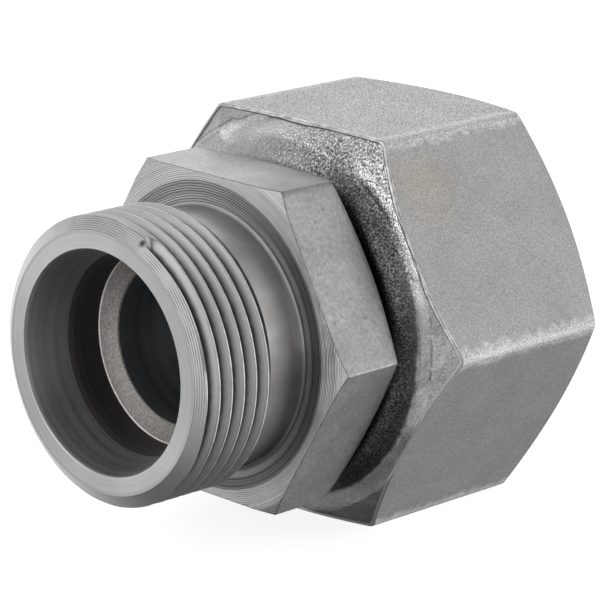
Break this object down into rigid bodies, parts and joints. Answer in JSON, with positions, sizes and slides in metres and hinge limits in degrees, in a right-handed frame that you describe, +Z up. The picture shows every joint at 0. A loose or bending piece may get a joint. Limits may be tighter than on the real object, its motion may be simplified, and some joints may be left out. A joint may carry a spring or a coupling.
{
  "type": "swivel nut tube reducer",
  "caption": "Straight steel reducer for hydraulic tube: male threaded end with a conical tube socket, hexagon body and captive swivel nut on a larger tube stub.",
  "frame": {"origin": "centre of the male end's face, on the fitting's axis", "axes": "+X along the axis from the male end towards the swivel nut, +Z up, square to the top flats of both hexagons, which are parallel; the part lies on the nut's lowest flat"},
  "size_m": [0.0605, 0.0574, 0.05],
  "materials": {
    "turned_steel": "turned and milled, satin",
    "hardened_steel": "ground, darker",
    "forged_steel": "forged and blasted, fine grain"
  },
  "bodies": {
    "fitting": {"reducer_body": "turned_steel", "cutting_ring": "hardened_steel"},
    "nut": {"union_nut": "forged_steel"}
  },
  "joints": [
    {"name": "nut_swivel", "type": "hinge", "parent": "fitting", "child": "nut", "pos_m": [0.0325, 0, 0], "axis": [1, 0, 0], "continuous": true}
  ]
}
